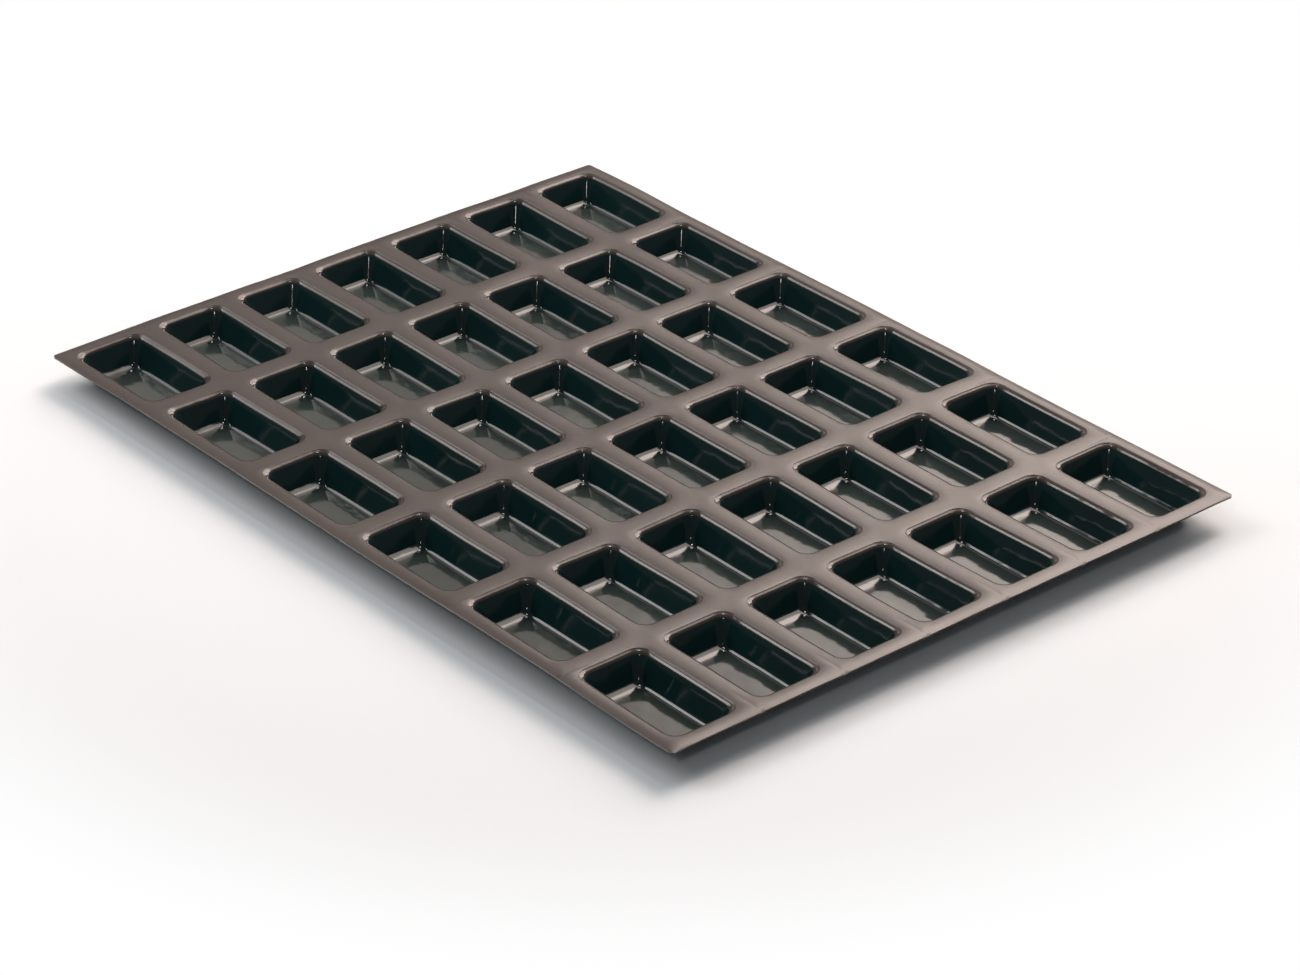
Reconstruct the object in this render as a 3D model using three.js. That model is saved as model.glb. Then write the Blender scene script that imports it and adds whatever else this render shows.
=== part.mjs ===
// Silicone financier mould: a thin flexible sheet with a grid of rectangular baking pockets.
// Millimetres, +Z up. The origin is under the middle of the sheet, on the surface that the pockets stand on.
// The sheet is one moulding that bends along the flat webs between its rows of pockets, so each row
// is a group of its own here: a strip of sheet with its pockets hanging under it.
import * as THREE from "three";

// Pockets, measured inside
const ROWS = 6; // along X
const POCKETS_PER_ROW = 7; // along Y
const POCKET_LENGTH = 62; // at the mouth, along X
const POCKET_WIDTH = 34; // at the mouth, along Y
const POCKET_DEPTH = 13; // from the mouth to the floor
const MOUTH_RADIUS = 6; // of the mouth's corners
const FLOOR_RADIUS = 3; // of the corners where the walls meet the floor
const DRAFT_INSET = 5.8; // how far each wall leans in on its way down
const FLOOR_FILLET = 2.2; // between the walls and the floor
const LEAST_RADIUS = 1; // of a corner, however far in it lies

// Sheet
const WEB_BETWEEN_ROWS = 13; // flat silicone between two rows
const WEB_BETWEEN_POCKETS = 12.5; // flat silicone between two pockets of a row
const END_BORDER = 9; // from the first and last rows to the sheet's ends
const SIDE_BORDER = 8.5; // from the outer pockets to the sheet's sides
const SHEET_THICKNESS = 1.2;
const SHEET_CORNER_RADIUS = 3;
const FLEX_GAP = 0.4; // clearance along each line that the sheet bends on

// Pocket shell
const WALL_THICKNESS = 1.2;
const FLOOR_THICKNESS = 1.2;

const CORNER_STEPS = 2; // straight steps in each rounded corner

// Places that follow from the sizes above
const ROW_PITCH = POCKET_LENGTH + WEB_BETWEEN_ROWS;
const POCKET_PITCH = POCKET_WIDTH + WEB_BETWEEN_POCKETS;
const SHEET_LENGTH = ROWS * POCKET_LENGTH + (ROWS - 1) * WEB_BETWEEN_ROWS + 2 * END_BORDER;
const SHEET_WIDTH =
  POCKETS_PER_ROW * POCKET_WIDTH + (POCKETS_PER_ROW - 1) * WEB_BETWEEN_POCKETS + 2 * SIDE_BORDER;
const SHEET_TOP = FLOOR_THICKNESS + POCKET_DEPTH;
const SHEET_UNDERSIDE = SHEET_TOP - SHEET_THICKNESS;
const FILLET_TOP = FLOOR_THICKNESS + FLOOR_FILLET;
const CORNER_TAPER = (MOUTH_RADIUS - FLOOR_RADIUS) / DRAFT_INSET;

const silicone = new THREE.MeshStandardMaterial({ color: 0x2b2726, roughness: 0.3, metalness: 0 });

const rowX = (row) => (row - (ROWS - 1) / 2) * ROW_PITCH;
const pocketY = (column) => (column - (POCKETS_PER_ROW - 1) / 2) * POCKET_PITCH;

// Points round a rectangle, anticlockwise from its +X +Y corner; a corner of radius 0 is one point.
function roundedRectangle(x0, x1, y0, y1, radii) {
  const corners = [
    [x1, y1, -1, -1, 0],
    [x0, y1, 1, -1, 1],
    [x0, y0, 1, 1, 2],
    [x1, y0, -1, 1, 3],
  ];
  return corners.flatMap(([x, y, towardsX, towardsY, quarter]) => {
    const radius = radii[quarter];
    if (radius === 0) return [new THREE.Vector2(x, y)];
    return Array.from({ length: CORNER_STEPS + 1 }, (_, step) => {
      const angle = ((quarter + step / CORNER_STEPS) * Math.PI) / 2;
      return new THREE.Vector2(
        x + towardsX * radius + radius * Math.cos(angle),
        y + towardsY * radius + radius * Math.sin(angle),
      );
    });
  });
}

// The mouth's outline, drawn in by an inset on every side.
function pocketOutline(inset) {
  const halfLength = POCKET_LENGTH / 2 - inset;
  const halfWidth = POCKET_WIDTH / 2 - inset;
  const radius = Math.max(MOUTH_RADIUS - inset * CORNER_TAPER, LEAST_RADIUS);
  return roundedRectangle(-halfLength, halfLength, -halfWidth, halfWidth, Array(4).fill(radius));
}

// How far the inside of a wall has leaned in at a height.
const insetAt = (z) => (DRAFT_INSET * (SHEET_TOP - z)) / POCKET_DEPTH;

// A closed skin through rings of equally many points, with a flat cap on the first and last ring.
function loft(rings) {
  const count = rings[0].length;
  const positions = rings.flatMap((ring) => ring.flatMap((p) => [p.x, p.y, p.z]));
  const index = [];
  for (let ring = 0; ring + 1 < rings.length; ring++) {
    for (let i = 0; i < count; i++) {
      const a = ring * count + i;
      const b = ring * count + ((i + 1) % count);
      index.push(a, b, b + count, a, b + count, a + count);
    }
  }
  const last = (rings.length - 1) * count;
  for (let i = 1; i + 1 < count; i++) {
    index.push(0, i + 1, i);
    index.push(last, last + i, last + i + 1);
  }
  const geometry = new THREE.BufferGeometry();
  geometry.setAttribute("position", new THREE.Float32BufferAttribute(positions, 3));
  geometry.setIndex(index);
  geometry.computeVertexNormals();
  return geometry;
}

// One pocket's shell below the sheet: up the outside, over the rim and down the inside to the floor.
function pocketShell() {
  const ring = (inset, z) => pocketOutline(inset).map((p) => new THREE.Vector3(p.x, p.y, z));
  return loft([
    ring(insetAt(FILLET_TOP) - WALL_THICKNESS + FLOOR_FILLET, 0),
    ring(insetAt(FILLET_TOP) - WALL_THICKNESS, FILLET_TOP - FLOOR_THICKNESS),
    ring(insetAt(SHEET_UNDERSIDE) - WALL_THICKNESS, SHEET_UNDERSIDE),
    ring(insetAt(SHEET_UNDERSIDE), SHEET_UNDERSIDE),
    ring(insetAt(FILLET_TOP), FILLET_TOP),
    ring(insetAt(FILLET_TOP) + FLOOR_FILLET, FLOOR_THICKNESS),
  ]);
}

// One row's strip of sheet, with a mouth over each pocket. The end strips reach the sheet's ends.
function sheetStrip(row) {
  const first = row === 0;
  const last = row === ROWS - 1;
  const x0 = first ? -SHEET_LENGTH / 2 - rowX(row) : (FLEX_GAP - ROW_PITCH) / 2;
  const x1 = last ? SHEET_LENGTH / 2 - rowX(row) : (ROW_PITCH - FLEX_GAP) / 2;
  const startRadius = first ? SHEET_CORNER_RADIUS : 0;
  const endRadius = last ? SHEET_CORNER_RADIUS : 0;
  const radii = [endRadius, startRadius, startRadius, endRadius];
  const shape = new THREE.Shape(roundedRectangle(x0, x1, -SHEET_WIDTH / 2, SHEET_WIDTH / 2, radii));
  for (let column = 0; column < POCKETS_PER_ROW; column++) {
    const shift = new THREE.Vector2(0, pocketY(column));
    shape.holes.push(new THREE.Path(pocketOutline(0).map((p) => p.add(shift))));
  }
  return new THREE.ExtrudeGeometry(shape, { depth: SHEET_THICKNESS, bevelEnabled: false });
}

const mould = new THREE.Group();
for (let row = 0; row < ROWS; row++) {
  const rowGroup = new THREE.Group();
  rowGroup.position.x = rowX(row);
  const strip = new THREE.Mesh(sheetStrip(row), silicone);
  strip.name = `sheet_row_${row + 1}`;
  strip.position.z = SHEET_UNDERSIDE;
  rowGroup.add(strip);
  for (let column = 0; column < POCKETS_PER_ROW; column++) {
    const pocket = new THREE.Mesh(pocketShell(), silicone);
    pocket.name = `pocket_${row + 1}_${column + 1}`;
    pocket.position.y = pocketY(column);
    rowGroup.add(pocket);
  }
  mould.add(rowGroup);
}

export default mould;
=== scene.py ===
"""Silicone financier mould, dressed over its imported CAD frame: one thin sheet with tapered pockets."""

import math

import bmesh
import bpy
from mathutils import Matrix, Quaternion, Vector, noise


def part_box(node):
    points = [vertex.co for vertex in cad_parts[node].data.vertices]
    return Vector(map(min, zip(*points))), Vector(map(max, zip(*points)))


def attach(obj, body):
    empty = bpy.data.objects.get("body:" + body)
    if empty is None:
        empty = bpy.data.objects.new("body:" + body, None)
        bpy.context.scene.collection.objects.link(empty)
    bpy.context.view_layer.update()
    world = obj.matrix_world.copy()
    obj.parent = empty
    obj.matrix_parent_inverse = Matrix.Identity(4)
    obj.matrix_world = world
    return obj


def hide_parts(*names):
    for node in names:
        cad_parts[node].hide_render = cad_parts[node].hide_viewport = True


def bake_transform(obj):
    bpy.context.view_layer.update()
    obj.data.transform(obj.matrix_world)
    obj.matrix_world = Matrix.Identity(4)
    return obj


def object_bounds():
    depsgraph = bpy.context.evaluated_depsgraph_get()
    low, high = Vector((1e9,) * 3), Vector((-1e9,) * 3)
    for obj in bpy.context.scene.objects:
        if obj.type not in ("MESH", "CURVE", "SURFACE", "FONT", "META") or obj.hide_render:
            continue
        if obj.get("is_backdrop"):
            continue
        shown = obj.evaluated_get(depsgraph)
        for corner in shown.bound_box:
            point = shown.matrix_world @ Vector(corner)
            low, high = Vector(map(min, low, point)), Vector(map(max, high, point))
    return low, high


bl_info = {
    "name": "Silicone Financier Mould",
    "version": (1, 0, 0),
    "blender": (4, 5, 0),
    "location": "3D View > Sidebar > Mould",
    "description": "Builds a flexible silicone baking mould and a plain studio round it",
    "category": "Add Mesh",
}

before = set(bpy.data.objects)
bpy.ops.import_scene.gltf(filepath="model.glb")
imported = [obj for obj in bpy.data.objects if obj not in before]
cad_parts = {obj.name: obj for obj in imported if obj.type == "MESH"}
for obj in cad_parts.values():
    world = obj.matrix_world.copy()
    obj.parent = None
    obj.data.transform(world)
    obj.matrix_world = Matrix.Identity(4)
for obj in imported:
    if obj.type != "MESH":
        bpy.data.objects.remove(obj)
CAD_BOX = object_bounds()

ROW_COUNT = sum(name.startswith("sheet_row_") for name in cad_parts)
COLUMN_COUNT = sum(name.startswith("pocket_1_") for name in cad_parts)
ROWS = range(1, ROW_COUNT + 1)
COLUMNS = range(1, COLUMN_COUNT + 1)

# Steps of the mesh: along a pocket's straight long and short sides, in half of a rounded corner seen from
# above, in the roll of a rim or the fillet at a wall's foot, and down a wall.
LONG_STEPS = 8
SHORT_STEPS = 4
HALF_CORNER_STEPS = 4
ROUND_STEPS = 6
WALL_STEPS = 5

CORNERS = ((1, 1), (-1, 1), (-1, -1), (1, -1))  # signs of X and Y, anticlockwise
CORNER_SHARES = (0, 0.35, 0.7, 1)  # of the sheet's corner radius, one for each step of half a corner
SHEET_SHARES = (0, 0.05, 0.25, 0.45, 0.65, 0.85)  # of the way from the edge of a pocket's sheet to its rim
LEAST_RADIUS = 0.001  # of a pocket's corner, however far in it lies
ROW_LEAD = 1.15  # rim rolls by which a row's sheet begins before its mouths
EDGE_FALL = 0.0002  # by which the sheet's top edge is eased
EDGE_WIDTH = 0.0003  # over which it is eased
WELD = 1e-6  # between points that are one
SHARP_ANGLE = math.radians(24)  # between faces that meet at an edge and aren't shaded as one

# Soft forms of the silicone: the span of each one's noise, and the field that it is drawn from.
LONG_WAVE = (0.11, 0)
SHORT_WAVE = (0.045, 3)
SWAY_X = (0.04, 7)
SWAY_Y = (0.04, 11)
DENTS = (0.02, 17)

SHORT_WAVE_SHARE = 0.5  # of the long wave's height
DENT_HEIGHT = 0.00025
DENT_START = 0.9  # share of a pocket's depth, below which its floor is dented
WEB_REACH = 0.006  # how far from a mouth the sheet is still rising
BORDER_REACH = 0.008  # how far in from its edge the sheet starts to hang

IMAGE_WIDTH = 1300  # of the picture that the camera is matched to, in pixels
FLOOR_HALF_SIZE = 6
FLOOR_GAP = 0.0003  # below the pockets
FADE_START = 0.28  # from the mould's middle, where the floor starts to fade to plain white
FADE_END = 0.42
SURROUND_LEVEL = 0.13  # of the light that the studio's white surround throws on the mould


def node_box(name):
    """The lowest and highest corners of a CAD node, as vectors."""
    low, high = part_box(name)
    return Vector(low), Vector(high)


def pocket_centre(row, column):
    """The middle of a pocket."""
    return sum(node_box(f"pocket_{row}_{column}"), Vector()) / 2


SHEET_LOW, SHEET_HIGH = node_box("sheet_row_1")
POCKET_CENTRES = [pocket_centre(row, column) for row in ROWS for column in COLUMNS]


def linear_colour(hex_value):
    """An sRGB hex colour as linear red, green and blue."""
    parts = (int(hex_value[i : i + 2], 16) / 255 for i in (1, 3, 5))
    return tuple(c / 12.92 if c <= 0.04045 else ((c + 0.055) / 1.055) ** 2.4 for c in parts)


class MouldSettings(bpy.types.PropertyGroup):
    """Sizes and colours of the silicone sheet."""

    mouth_length: bpy.props.FloatProperty(
        name="Mouth Length",
        description="Inside length of a pocket at the sheet",
        default=0.062,
        unit="LENGTH",
    )
    mouth_width: bpy.props.FloatProperty(
        name="Mouth Width",
        description="Inside width of a pocket at the sheet",
        default=0.034,
        unit="LENGTH",
    )
    mouth_radius: bpy.props.FloatProperty(
        name="Mouth Radius",
        description="Corner radius of a pocket at the sheet",
        default=0.006,
        unit="LENGTH",
    )
    floor_radius: bpy.props.FloatProperty(
        name="Floor Radius",
        description="Corner radius where the walls meet the floor",
        default=0.003,
        unit="LENGTH",
    )
    wall: bpy.props.FloatProperty(
        name="Wall",
        description="Thickness of the silicone",
        default=SHEET_HIGH.z - SHEET_LOW.z,
        unit="LENGTH",
    )
    draft: bpy.props.FloatProperty(
        name="Draft",
        description="How far each wall leans in on its way down",
        default=0.0058,
        unit="LENGTH",
    )
    rim_roll: bpy.props.FloatProperty(
        name="Rim Roll",
        description="Radius where the sheet turns down into a pocket",
        default=0.0028,
        unit="LENGTH",
    )
    floor_fillet: bpy.props.FloatProperty(
        name="Floor Fillet",
        description="Radius between a pocket's walls and its floor",
        default=0.003,
        unit="LENGTH",
    )
    end_scoop: bpy.props.FloatProperty(
        name="End Scoop",
        description="How gently the floor runs up to a pocket's two short walls",
        default=0.008,
        unit="LENGTH",
    )
    corner: bpy.props.FloatProperty(
        name="Sheet Corner",
        description="Radius of the sheet's own corners",
        default=0.003,
        unit="LENGTH",
    )
    sheet_wave: bpy.props.FloatProperty(
        name="Sheet Wave",
        description="Rise and fall of the limp sheet between its pockets",
        default=0.001,
        unit="LENGTH",
    )
    web_crown: bpy.props.FloatProperty(
        name="Web Crown",
        description="How far the sheet swells up between the pockets",
        default=0.0006,
        unit="LENGTH",
    )
    border_droop: bpy.props.FloatProperty(
        name="Border Droop",
        description="How far the sheet's edge hangs below the pockets' rims",
        default=0.0009,
        unit="LENGTH",
    )
    wall_wobble: bpy.props.FloatProperty(
        name="Wall Wobble",
        description="How far the soft walls stray from straight",
        default=0.0004,
        unit="LENGTH",
    )
    sheet_colour: bpy.props.FloatVectorProperty(
        name="Sheet Colour",
        description="Silicone of the sheet",
        default=linear_colour("#433c39"),
        subtype="COLOR",
    )
    # Darker and more teal than the sheet: partly the silicone's own tone, partly painted shade of the
    # pockets' hollows.
    pocket_tone_and_shade: bpy.props.FloatVectorProperty(
        name="Pocket Colour",
        description="Silicone inside the pockets",
        default=linear_colour("#132c2d"),
        subtype="COLOR",
    )
    # Painted light: the pockets' upward-facing floors are made paler, standing in for the light and
    # reflection that they catch.
    painted_floor_light: bpy.props.FloatVectorProperty(
        name="Floor Light Colour",
        description="Silicone of the pockets' filmed floors",
        default=linear_colour("#313b39"),
        subtype="COLOR",
    )


class StageSettings(bpy.types.PropertyGroup):
    """The studio and its camera."""

    azimuth: bpy.props.FloatProperty(
        name="Azimuth",
        description="Direction the camera stands in",
        default=math.radians(49.93),
        subtype="ANGLE",
    )
    elevation: bpy.props.FloatProperty(
        name="Elevation",
        description="Camera's height above the sheet",
        default=math.radians(29.39),
        subtype="ANGLE",
    )
    distance: bpy.props.FloatProperty(
        name="Distance",
        description="From the camera to its aim on the sheet",
        default=1.949,
        unit="LENGTH",
    )
    focal_pixels: bpy.props.FloatProperty(
        name="Focal Length",
        description="In pixels of the matched picture",
        default=4345.7,
    )
    aim: bpy.props.FloatVectorProperty(
        name="Aim",
        description="Point of the sheet at the picture's middle",
        default=(0.0541, -0.0309, SHEET_HIGH.z),
        subtype="TRANSLATION",
    )
    floor_colour: bpy.props.FloatVectorProperty(
        name="Floor Colour",
        description="Plain pale floor",
        default=linear_colour("#eff5fa"),
        subtype="COLOR",
    )
    sheen_colour: bpy.props.FloatVectorProperty(
        name="Sheen Colour",
        description="Softbox that the sheet mirrors",
        default=linear_colour("#ffeee4"),
        subtype="COLOR",
    )


def add_node(tree, kind, settings=None, inputs=(), **links):
    """Adds a node. settings name its properties. inputs fill its sockets in order and links fill them by
    name, each with a value or with another node's output."""
    node = tree.nodes.new(kind)
    for name, value in (settings or {}).items():
        setattr(node, name, value)
    sockets = [socket for socket in node.inputs if socket.enabled]
    named = {socket.name.replace(" ", "_"): socket for socket in reversed(sockets)}
    for socket, value in [*zip(sockets, inputs), *((named[name], value) for name, value in links.items())]:
        if isinstance(value, bpy.types.NodeSocket):
            tree.links.new(value, socket)
        else:
            socket.default_value = value
    return node


def seen_by(tree, *rays):
    """A level of 1 for the named kinds of ray, and of 0 for all others."""
    path = add_node(tree, "ShaderNodeLightPath").outputs
    seen = path[rays[0]]
    for ray in rays[1:]:
        joined = add_node(tree, "ShaderNodeMath", {"operation": "ADD", "use_clamp": True}, (seen, path[ray]))
        seen = joined.outputs["Value"]
    return seen


def moulded_silicone(settings):
    """Platinum-cured silicone from a polished mould: satin on the handled sheet, glossy in the pockets."""
    material = bpy.data.materials.new("Moulded silicone")
    material.use_nodes = True
    tree = material.node_tree
    shader = tree.nodes["Principled BSDF"]
    shader.inputs["IOR"].default_value = 1.43
    place = add_node(tree, "ShaderNodeTexCoord").outputs["Object"]
    depth = add_node(tree, "ShaderNodeAttribute", {"attribute_name": "pocket_depth"}).outputs["Fac"]

    # Baked-on butter leaves cloudy patches some 45 mm across.
    patches = add_node(
        tree, "ShaderNodeTexNoise", Vector=place, Scale=1 / 0.045, Detail=4.0, Roughness=0.6
    ).outputs["Fac"]
    # Release marks and dust are about 3 mm across.
    marks = add_node(
        tree, "ShaderNodeTexNoise", Vector=place, Scale=1 / 0.003, Detail=3.0, Roughness=0.6
    ).outputs["Fac"]

    # The inside's darker teal colour takes over where the sheet turns down: partly the silicone's own tone,
    # partly painted shade of the pockets' hollows.
    inside = add_node(
        tree, "ShaderNodeMapRange", {"interpolation_type": "SMOOTHSTEP"},
        Value=depth, From_Min=0.06, From_Max=0.13, To_Min=0.0, To_Max=1.0,
    )
    skin = add_node(
        tree, "ShaderNodeMix", {"data_type": "RGBA"},
        Factor=inside.outputs["Result"], A=(*settings.sheet_colour, 1), B=(*settings.pocket_tone_and_shade, 1),
    )
    # Painted light: the floors are made paler, standing in for the light and reflection they catch, up to
    # where they turn into the walls.
    floor_brightening = add_node(
        tree, "ShaderNodeMapRange", Value=depth, From_Min=0.97, From_Max=1.0, To_Min=0.0, To_Max=1.0
    )
    brightened = add_node(
        tree, "ShaderNodeMix", {"data_type": "RGBA"},
        Factor=floor_brightening.outputs["Result"], A=skin.outputs[2], B=(*settings.painted_floor_light, 1),
    )
    shade = add_node(
        tree, "ShaderNodeMapRange", Value=patches, From_Min=0.3, From_Max=0.7, To_Min=0.86, To_Max=1.14
    )
    tinted = add_node(
        tree, "ShaderNodeHueSaturation", Color=brightened.outputs[2], Value=shade.outputs["Result"]
    )
    tree.links.new(tinted.outputs["Color"], shader.inputs["Base Color"])

    # Satin on the sheet, and glossy from the rims down. Patches and marks dull or polish both a little.
    gloss = add_node(
        tree, "ShaderNodeMapRange", Value=depth, From_Min=0.0, From_Max=0.03, To_Min=0.3, To_Max=0.08
    )
    clouded = add_node(
        tree, "ShaderNodeMapRange", Value=patches, From_Min=0.3, From_Max=0.75, To_Min=-0.03, To_Max=0.05
    )
    speckled = add_node(
        tree, "ShaderNodeMapRange", Value=marks, From_Min=0.4, From_Max=0.8, To_Min=0.0, To_Max=0.02
    )
    rough = add_node(
        tree, "ShaderNodeMath", {"operation": "ADD"}, (gloss.outputs["Result"], clouded.outputs["Result"])
    )
    rougher = add_node(
        tree, "ShaderNodeMath", {"operation": "ADD", "use_clamp": True},
        (rough.outputs["Value"], speckled.outputs["Result"]),
    )
    tree.links.new(rougher.outputs["Value"], shader.inputs["Roughness"])

    # The soft skin ripples every 9 mm or so, under a fine grain that is drawn at 0.9 mm so that it shows.
    ripple = add_node(
        tree, "ShaderNodeTexNoise", Vector=place, Scale=1 / 0.009, Detail=1.0, Roughness=0.4
    ).outputs["Fac"]
    grain = add_node(
        tree, "ShaderNodeTexNoise", Vector=place, Scale=1 / 0.0009, Detail=2.0, Roughness=0.5
    ).outputs["Fac"]
    rippled = add_node(tree, "ShaderNodeBump", Height=ripple, Strength=0.22, Distance=0.0006)
    grained = add_node(
        tree, "ShaderNodeBump",
        Height=grain, Strength=0.025, Distance=0.00006, Normal=rippled.outputs["Normal"],
    )
    tree.links.new(grained.outputs["Normal"], shader.inputs["Normal"])
    return material


def mouth_ring(settings, inset, end_inset):
    """Points round a pocket at insets from its long and short sides, anticlockwise from the middle of its
    +X +Y corner."""
    half_length = settings.mouth_length / 2 - end_inset
    half_width = settings.mouth_width / 2 - inset
    taper = (settings.mouth_radius - settings.floor_radius) / settings.draft
    radius = max(settings.mouth_radius - inset * taper, LEAST_RADIUS)
    arcs = [Vector((x * (half_length - radius), y * (half_width - radius))) for x, y in CORNERS]
    points = []
    for side in range(4):
        start, end = arcs[side], arcs[(side + 1) % 4]
        facing = math.pi / 2 * (side + 1)
        across = Vector((math.cos(facing), math.sin(facing))) * radius
        steps = (LONG_STEPS, SHORT_STEPS)[side % 2]
        for step in range(HALF_CORNER_STEPS):
            angle = facing - math.pi / 4 * (1 - step / HALF_CORNER_STEPS)
            points.append(start + Vector((math.cos(angle), math.sin(angle))) * radius)
        for step in range(steps):
            points.append(start.lerp(end, step / steps) + across)
        for step in range(HALF_CORNER_STEPS):
            angle = facing + math.pi / 4 * step / HALF_CORNER_STEPS
            points.append(end + Vector((math.cos(angle), math.sin(angle))) * radius)
    return points


def tile_ring(settings, low, high):
    """Points round a pocket's share of the sheet, in step with mouth_ring."""
    straight_x = settings.mouth_length / 2 - settings.mouth_radius
    straight_y = settings.mouth_width / 2 - settings.mouth_radius
    corners = [Vector(((high if x > 0 else low).x, (high if y > 0 else low).y)) for x, y in CORNERS]
    # Close together beside a corner, so that the sheet's own corners come out round.
    near = [settings.corner * share for share in CORNER_SHARES]
    points = []
    for side in range(4):
        start, end = corners[side], corners[(side + 1) % 4]
        along = (end - start).normalized()
        straight, steps = ((straight_x, LONG_STEPS), (straight_y, SHORT_STEPS))[side % 2]
        middle = start - along * start.dot(along)
        points += [start + along * distance for distance in near]
        points += [middle + along * straight * (2 * step / steps - 1) for step in range(steps + 1)]
        points += [end - along * distance for distance in reversed(near[1:])]
    return points


def pocket_profile(settings, depth):
    """Insets from the long and short sides and drop of a pocket's rings, from its rim to its floor."""
    lean = math.atan2(settings.draft, depth)
    turn = math.pi / 2 - lean
    roll, fillet = settings.rim_roll, settings.floor_fillet
    roll_start = roll * math.tan(turn / 2)
    fillet_end = fillet * math.tan(turn / 2)
    rings = []
    for step in range(ROUND_STEPS + 1):
        angle = turn * step / ROUND_STEPS
        inset = roll * math.sin(angle) - roll_start
        rings.append((inset, inset, roll * (1 - math.cos(angle))))
    top = rings[-1]
    foot_inset = settings.draft + fillet_end - fillet * math.sin(turn)
    foot = (foot_inset, foot_inset, depth - fillet * (1 - math.cos(turn)))
    for step in range(1, WALL_STEPS):
        share = step / WALL_STEPS
        rings.append(tuple(a + (b - a) * share for a, b in zip(top, foot)))
    for step in range(ROUND_STEPS + 1):
        angle = turn * (1 - step / ROUND_STEPS)
        run = math.sin(turn) - math.sin(angle)
        insets = (foot_inset + fillet * run, foot_inset + settings.end_scoop * run)
        rings.append((*insets, depth - fillet * (1 - math.cos(angle))))
    return rings


def row_start(settings, row):
    """Where a row's piece of sheet begins: just before its mouths, or at the sheet's end."""
    if row == 1:
        return CAD_BOX[0].x
    if row > ROW_COUNT:
        return CAD_BOX[1].x
    return pocket_centre(row, 1).x - settings.mouth_length / 2 - settings.rim_roll * ROW_LEAD


def tile_corners(settings, row, column):
    """The lowest and highest corners of a pocket's share of the sheet, seen from above."""
    low = Vector((row_start(settings, row), CAD_BOX[0].y))
    high = Vector((row_start(settings, row + 1), CAD_BOX[1].y))
    here = pocket_centre(row, column).y
    if column > 1:
        low.y = (pocket_centre(row, column - 1).y + here) / 2
    if column < COLUMN_COUNT:
        high.y = (pocket_centre(row, column + 1).y + here) / 2
    return low, high


def pocket_rings(settings, row, column, depth):
    """Rings of points over a pocket's share of the sheet and down its walls, each with its drop."""
    low, high = tile_corners(settings, row, column)
    middle = pocket_centre(row, column).xy
    profile = pocket_profile(settings, depth)
    outer = tile_ring(settings, low - middle, high - middle)
    inner = mouth_ring(settings, *profile[0][:2])
    rings = [([a.lerp(b, share) for a, b in zip(outer, inner)], 0.0) for share in SHEET_SHARES]
    rings += [(mouth_ring(settings, *insets), drop) for *insets, drop in profile]
    return [([point + middle for point in points], drop) for points, drop in rings]


def rounded_corner(settings, place):
    """Pulls a point of the sheet in to the arc of the sheet's nearest corner."""
    radius = settings.corner
    low, high = CAD_BOX
    centre = Vector((
        min(max(place.x, low.x + radius), high.x - radius),
        min(max(place.y, low.y + radius), high.y - radius),
    ))
    out = place - centre
    if out.x and out.y:
        return centre + out.normalized() * max(abs(out.x), abs(out.y))
    return place


def moulded_place(settings, point, drop):
    """Where a point lies in the perfect mould, with the sheet's corners rounded and its top edge eased."""
    place = rounded_corner(settings, point)
    low, high = CAD_BOX
    edge = min(place.x - low.x, high.x - place.x, place.y - low.y, high.y - place.y)
    fall = drop + EDGE_FALL * max(0.0, 1 - max(edge, 0.0) / EDGE_WIDTH)
    return Vector((place.x, place.y, SHEET_HIGH.z - fall))


def mouth_gap(settings, x, y):
    """Distance from a point of the sheet to the nearest pocket's mouth."""
    gaps = []
    for centre in POCKET_CENTRES:
        across = abs(x - centre.x) - settings.mouth_length / 2 + settings.mouth_radius
        along = abs(y - centre.y) - settings.mouth_width / 2 + settings.mouth_radius
        gaps.append(math.hypot(max(across, 0.0), max(along, 0.0)) - settings.mouth_radius)
    return max(min(gaps), 0.0)


def soft_noise(x, y, form):
    """Noise of one of the soft forms at a point of the sheet, from about -1 to 1."""
    span, field = form
    return noise.noise(Vector((x / span, y / span, field)))


def softened(settings, point, drop):
    """Where a point of the perfect mould ends up in limp silicone. drop is 0 at the sheet, 1 at a floor."""
    x, y, z = point
    swell = soft_noise(x, y, LONG_WAVE) + SHORT_WAVE_SHARE * soft_noise(x, y, SHORT_WAVE)
    lift = settings.sheet_wave * swell * (1 - drop)
    if drop == 0:
        rise = min(mouth_gap(settings, x, y) / WEB_REACH, 1.0)
        lift += settings.web_crown * (1 - (1 - rise) ** 2)
    held = 1.0
    for edge in (CAD_BOX[1].x - abs(x), CAD_BOX[1].y - abs(y)):
        held *= 1 - max(0.0, 1 - max(edge, 0.0) / BORDER_REACH) ** 2
    lift -= settings.border_droop * (1 - held)
    sway = Vector((soft_noise(x, y, SWAY_X), soft_noise(x, y, SWAY_Y))) * settings.wall_wobble
    dented = max(0.0, drop - DENT_START) / (1 - DENT_START)
    dent = DENT_HEIGHT * abs(soft_noise(x, y, DENTS)) * dented
    return Vector((x + sway.x, y + sway.y, z + lift + dent))


def add_band(mesh, outer, inner):
    """Quads between two rings."""
    for i, vertex in enumerate(outer):
        j = (i + 1) % len(outer)
        mesh.faces.new((vertex, outer[j], inner[j], inner[i]))


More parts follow.
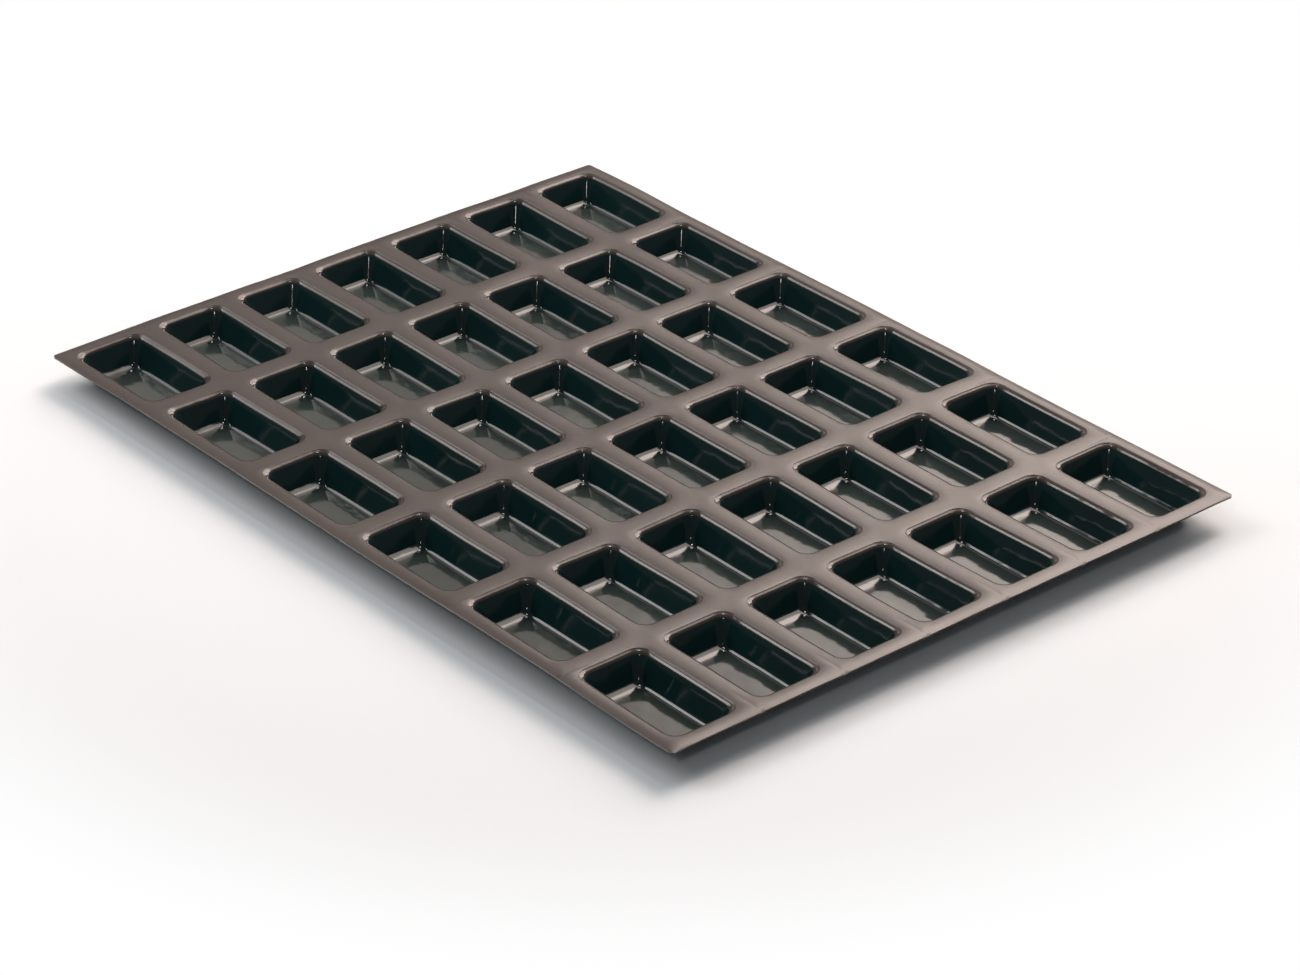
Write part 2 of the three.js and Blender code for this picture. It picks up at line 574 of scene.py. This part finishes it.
def add_floor(mesh, ring, make):
    """A grid of quads that fills a pocket's last ring, between points that make adds at a drop of 1."""
    across = LONG_STEPS + 2 * HALF_CORNER_STEPS
    down = SHORT_STEPS + 2 * HALF_CORNER_STEPS
    top = [ring[i] for i in range(across + 1)]
    left = [ring[across + j] for j in range(down + 1)]
    bottom = [ring[2 * across + down - i] for i in range(across + 1)]
    right = [ring[-j] for j in range(down + 1)]
    grid = [top]
    for j in range(1, down):
        v = j / down
        line = [right[j]]
        for i in range(1, across):
            u = i / across
            edges = top[i].co * (1 - v) + bottom[i].co * v + right[j].co * (1 - u) + left[j].co * u
            top_line = top[0].co * (1 - u) + top[-1].co * u
            bottom_line = bottom[0].co * (1 - u) + bottom[-1].co * u
            line.append(make(edges - (top_line * (1 - v) + bottom_line * v), 1.0))
        grid.append([*line, left[j]])
    grid.append(bottom)
    for upper, lower in zip(grid, grid[1:]):
        for i in range(across):
            mesh.faces.new((upper[i], upper[i + 1], lower[i + 1], lower[i]))


def row_mesh(settings, row):
    """One row of pockets with its share of the sheet, as a single top skin."""
    depth = SHEET_HIGH.z - settings.wall
    mesh = bmesh.new()
    layer = mesh.verts.layers.float.new("pocket_depth")

    def make(place, drop):
        vertex = mesh.verts.new(place)
        vertex[layer] = drop
        return vertex

    for column in COLUMNS:
        made = []
        for points, drop in pocket_rings(settings, row, column, depth):
            made.append([make(moulded_place(settings, point, drop), drop / depth) for point in points])
        for outer, inner in zip(made, made[1:]):
            add_band(mesh, outer, inner)
        add_floor(mesh, made[-1], make)
    bmesh.ops.remove_doubles(mesh, verts=mesh.verts, dist=WELD)
    for vertex in mesh.verts:
        vertex.co = softened(settings, vertex.co, vertex[layer])
    bmesh.ops.recalc_face_normals(mesh, faces=mesh.faces)
    if sum(face.normal.z for face in mesh.faces) < 0:
        bmesh.ops.reverse_faces(mesh, faces=mesh.faces)
    data = bpy.data.meshes.new(f"Row {row}")
    mesh.to_mesh(data)
    mesh.free()
    return data


class MOULD_OT_rows(bpy.types.Operator):
    """Builds the silicone sheet, a piece for each row of pockets"""

    bl_idname = "mould.rows"
    bl_label = "Build Rows of Pockets"

    def execute(self, context):
        settings = context.scene.mould_settings
        silicone = moulded_silicone(settings)
        for row in ROWS:
            piece = self.mould_row(context, settings, row)
            piece.data.materials.append(silicone)
            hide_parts(f"sheet_row_{row}", *(f"pocket_{row}_{column}" for column in COLUMNS))
            if row == ROW_COUNT:
                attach(piece, f"row_{row}")
            else:
                end = (row_start(settings, row + 1), 0, SHEET_HIGH.z)
                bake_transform(piece)
        return {"FINISHED"}

    def mould_row(self, context, settings, row):
        """A row's piece: its top skin, thickened downwards and smoothed."""
        piece = bpy.data.objects.new(f"pocket_row_{row}", row_mesh(settings, row))
        context.collection.objects.link(piece)
        shell = piece.modifiers.new("Wall", "SOLIDIFY")
        shell.thickness = settings.wall
        shell.offset = -1
        shell.use_even_offset = True
        context.view_layer.update()
        graph = context.evaluated_depsgraph_get()
        piece.data = bpy.data.meshes.new_from_object(piece.evaluated_get(graph))
        piece.modifiers.clear()
        piece.data.polygons.foreach_set("use_smooth", [True] * len(piece.data.polygons))
        piece.data.set_sharp_from_angle(angle=SHARP_ANGLE)
        return piece


class MOULD_OT_stage(bpy.types.Operator):
    """Lays a pale floor, hangs soft lights and sets the camera"""

    bl_idname = "mould.stage"
    bl_label = "Build Stage"

    def execute(self, context):
        stage = context.scene.stage_settings
        context.scene.view_settings.view_transform = "Standard"
        self.lay_floor(context, stage)
        self.surround(context)
        self.light(context, stage)
        self.set_camera(context, stage)
        return {"FINISHED"}

    def lay_floor(self, context, stage):
        """A wide floor that keeps the mould's shadow and is plain white away from it."""
        data = bpy.data.meshes.new("Floor")
        mesh = bmesh.new()
        bmesh.ops.create_grid(mesh, x_segments=1, y_segments=1, size=FLOOR_HALF_SIZE)
        mesh.to_mesh(data)
        mesh.free()
        data.materials.append(self.studio_paint(stage))
        floor = bpy.data.objects.new("Floor", data)
        context.collection.objects.link(floor)
        floor.location.z = CAD_BOX[0].z - FLOOR_GAP
        self.keep_under(floor)
        floor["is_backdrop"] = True

    def studio_paint(self, stage):
        """Rolled matt paint: no gloss to speak of, and no texture at this distance."""
        paint = bpy.data.materials.new("Matt studio paint")
        paint.use_nodes = True
        tree = paint.node_tree
        shader = tree.nodes["Principled BSDF"]
        shader.inputs["Base Color"].default_value = (*stage.floor_colour, 1)
        shader.inputs["Roughness"].default_value = 0.9
        shader.inputs["Specular IOR Level"].default_value = 0.1
        place = add_node(tree, "ShaderNodeTexCoord").outputs["Object"]
        reach = add_node(tree, "ShaderNodeVectorMath", {"operation": "LENGTH"}, Vector=place)
        away = add_node(
            tree, "ShaderNodeMapRange", {"interpolation_type": "SMOOTHSTEP"},
            Value=reach.outputs["Value"], From_Min=FADE_START, From_Max=FADE_END, To_Min=0.0, To_Max=1.0,
        )
        rays = seen_by(tree, "Is Camera Ray", "Is Glossy Ray", "Is Transmission Ray")
        faded = add_node(tree, "ShaderNodeMath", {"operation": "MULTIPLY"}, (rays, away.outputs["Result"]))
        white = add_node(tree, "ShaderNodeEmission", Strength=1.0)
        mixed = add_node(
            tree, "ShaderNodeMixShader", None,
            (faded.outputs["Value"], shader.outputs["BSDF"], white.outputs["Emission"]),
        )
        tree.links.new(mixed.outputs["Shader"], tree.nodes["Material Output"].inputs["Surface"])
        return paint

    def keep_under(self, floor):
        """Drops the floor to the mould's lowest point where rows are bent down, so that they are seen."""
        tree = bpy.data.node_groups.new("Floor under the mould", "GeometryNodeTree")
        for way in ("INPUT", "OUTPUT"):
            tree.interface.new_socket("Geometry", in_out=way, socket_type="NodeSocketGeometry")
        mould = add_node(tree, "GeometryNodeJoinGeometry")
        for row in ROWS:
            piece = bpy.data.objects[f"pocket_row_{row}"]
            source = add_node(tree, "GeometryNodeObjectInfo", {"transform_space": "RELATIVE"}, Object=piece)
            tree.links.new(source.outputs["Geometry"], mould.inputs["Geometry"])
        box = add_node(tree, "GeometryNodeBoundBox", Geometry=mould.outputs["Geometry"])
        lowest = add_node(tree, "ShaderNodeSeparateXYZ", Vector=box.outputs["Min"])
        fall = add_node(tree, "ShaderNodeMath", {"operation": "MINIMUM"}, (lowest.outputs["Z"], 0.0))
        shift = add_node(tree, "ShaderNodeCombineXYZ", Z=fall.outputs["Value"])
        flat = add_node(tree, "NodeGroupInput").outputs["Geometry"]
        laid = add_node(tree, "GeometryNodeTransform", Geometry=flat, Translation=shift.outputs["Vector"])
        add_node(tree, "NodeGroupOutput", Geometry=laid.outputs["Geometry"])
        floor.modifiers.new("Under the mould", "NODES").node_group = tree

    def surround(self, context):
        """A surround that is seen as white but throws little light. Glossy rays get that little light too,
        or the glossy walls of the pockets would turn pale."""
        world = bpy.data.worlds.new("Studio")
        context.scene.world = world
        world.use_nodes = True
        tree = world.node_tree
        rays = seen_by(tree, "Is Camera Ray", "Is Transmission Ray")
        strength = add_node(
            tree, "ShaderNodeMapRange",
            Value=rays, From_Min=0.0, From_Max=1.0, To_Min=SURROUND_LEVEL, To_Max=1.0,
        )
        tree.links.new(strength.outputs["Result"], tree.nodes["Background"].inputs["Strength"])
        tree.nodes["Background"].inputs["Color"].default_value = (1, 1, 1, 1)

    def light(self, context, stage):
        """Soft lamps for the sheen of the sheet, the lines along the rims and the glints in the corners."""
        warm, pale, white = tuple(stage.sheen_colour), (1, 0.965, 0.94), (1, 1, 1)
        self.hang(context, "Overhead", warm, watts=18, place=(-0.35, 1.3, 1.85), size=(1.4, 0.9))
        sheen = self.hang(context, "Sheen", warm, watts=58, place=(-1.4, 1.55, 1.6), size=(3.2, 1.7))
        strip = self.hang(
            context, "Rim strip", pale, watts=34, place=(-1.7, -0.76, 1.52), size=(1.4, 0.95), turn=-35
        )
        self.hang(context, "Sparkle", white, watts=3, place=(-0.35, 0.3, 1.9), size=(0.14, 0.14))
        self.hang(context, "Corner glint", white, watts=3.5, place=(1.26, -1.5, 1.38), size=(0.16, 0.24))
        self.grade(sheen, "X", start=0.36, end=0.64, start_level=2.0, end_level=0.25)
        self.grade(strip, "Y", start=0.2, end=0.9, start_level=0.35, end_level=1.0)

    def hang(self, context, name, colour, watts, place, size, turn=0):
        """A rectangular lamp that faces the mould, turned about its own axis by some degrees."""
        lamp = bpy.data.lights.new(name, "AREA")
        lamp.shape = "RECTANGLE"
        lamp.size, lamp.size_y = size
        lamp.energy = watts
        lamp.color = colour
        holder = bpy.data.objects.new(name, lamp)
        context.collection.objects.link(holder)
        holder.location = place
        facing = (-Vector(place)).to_track_quat("-Z", "Y")
        holder.rotation_euler = (facing @ Quaternion((0, 0, 1), math.radians(turn))).to_euler()
        return lamp

    def grade(self, lamp, axis, start, end, start_level, end_level):
        """Dims a lamp along one of its sides, between two shares of that side."""
        lamp.use_nodes = True
        tree = lamp.node_tree
        across = add_node(tree, "ShaderNodeNewGeometry").outputs["Parametric"]
        split = add_node(tree, "ShaderNodeSeparateXYZ", Vector=across)
        level = add_node(
            tree, "ShaderNodeMapRange", Value=split.outputs[axis],
            From_Min=start, From_Max=end, To_Min=start_level, To_Max=end_level,
        )
        tree.links.new(level.outputs["Result"], tree.nodes["Emission"].inputs["Strength"])

    def set_camera(self, context, stage):
        """A camera at the matched picture's angle and distance."""
        camera = bpy.data.objects.new("Camera", bpy.data.cameras.new("Camera"))
        context.collection.objects.link(camera)
        level = math.cos(stage.elevation)
        back = Vector((
            math.sin(stage.azimuth) * level,
            -math.cos(stage.azimuth) * level,
            math.sin(stage.elevation),
        ))
        camera.location = Vector(stage.aim) + back * stage.distance
        camera.rotation_euler = (-back).to_track_quat("-Z", "Y").to_euler()
        camera.data.lens = stage.focal_pixels / IMAGE_WIDTH * camera.data.sensor_width
        context.scene.camera = camera


class MOULD_PT_panel(bpy.types.Panel):
    """Lists the mould's and the studio's settings"""

    bl_idname = "MOULD_PT_panel"
    bl_label = "Financier Mould"
    bl_space_type = "VIEW_3D"
    bl_region_type = "UI"
    bl_category = "Mould"

    def draw(self, context):
        for settings, operator in (
            (context.scene.mould_settings, MOULD_OT_rows),
            (context.scene.stage_settings, MOULD_OT_stage),
        ):
            for name in settings.__annotations__:
                self.layout.prop(settings, name)
            self.layout.operator(operator.bl_idname)


CLASSES = (MouldSettings, StageSettings, MOULD_OT_rows, MOULD_OT_stage, MOULD_PT_panel)


def register():
    for cls in CLASSES:
        bpy.utils.register_class(cls)
    bpy.types.Scene.mould_settings = bpy.props.PointerProperty(type=MouldSettings)
    bpy.types.Scene.stage_settings = bpy.props.PointerProperty(type=StageSettings)


def unregister():
    del bpy.types.Scene.stage_settings
    del bpy.types.Scene.mould_settings
    for cls in reversed(CLASSES):
        bpy.utils.unregister_class(cls)


def main():
    register()
    bpy.ops.mould.rows()
    bpy.ops.mould.stage()
    boxes = {"cad": CAD_BOX, "visual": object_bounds()}
    {name: [list(corner) for corner in box] for name, box in boxes.items()}


if __name__ == "__main__":
    main()
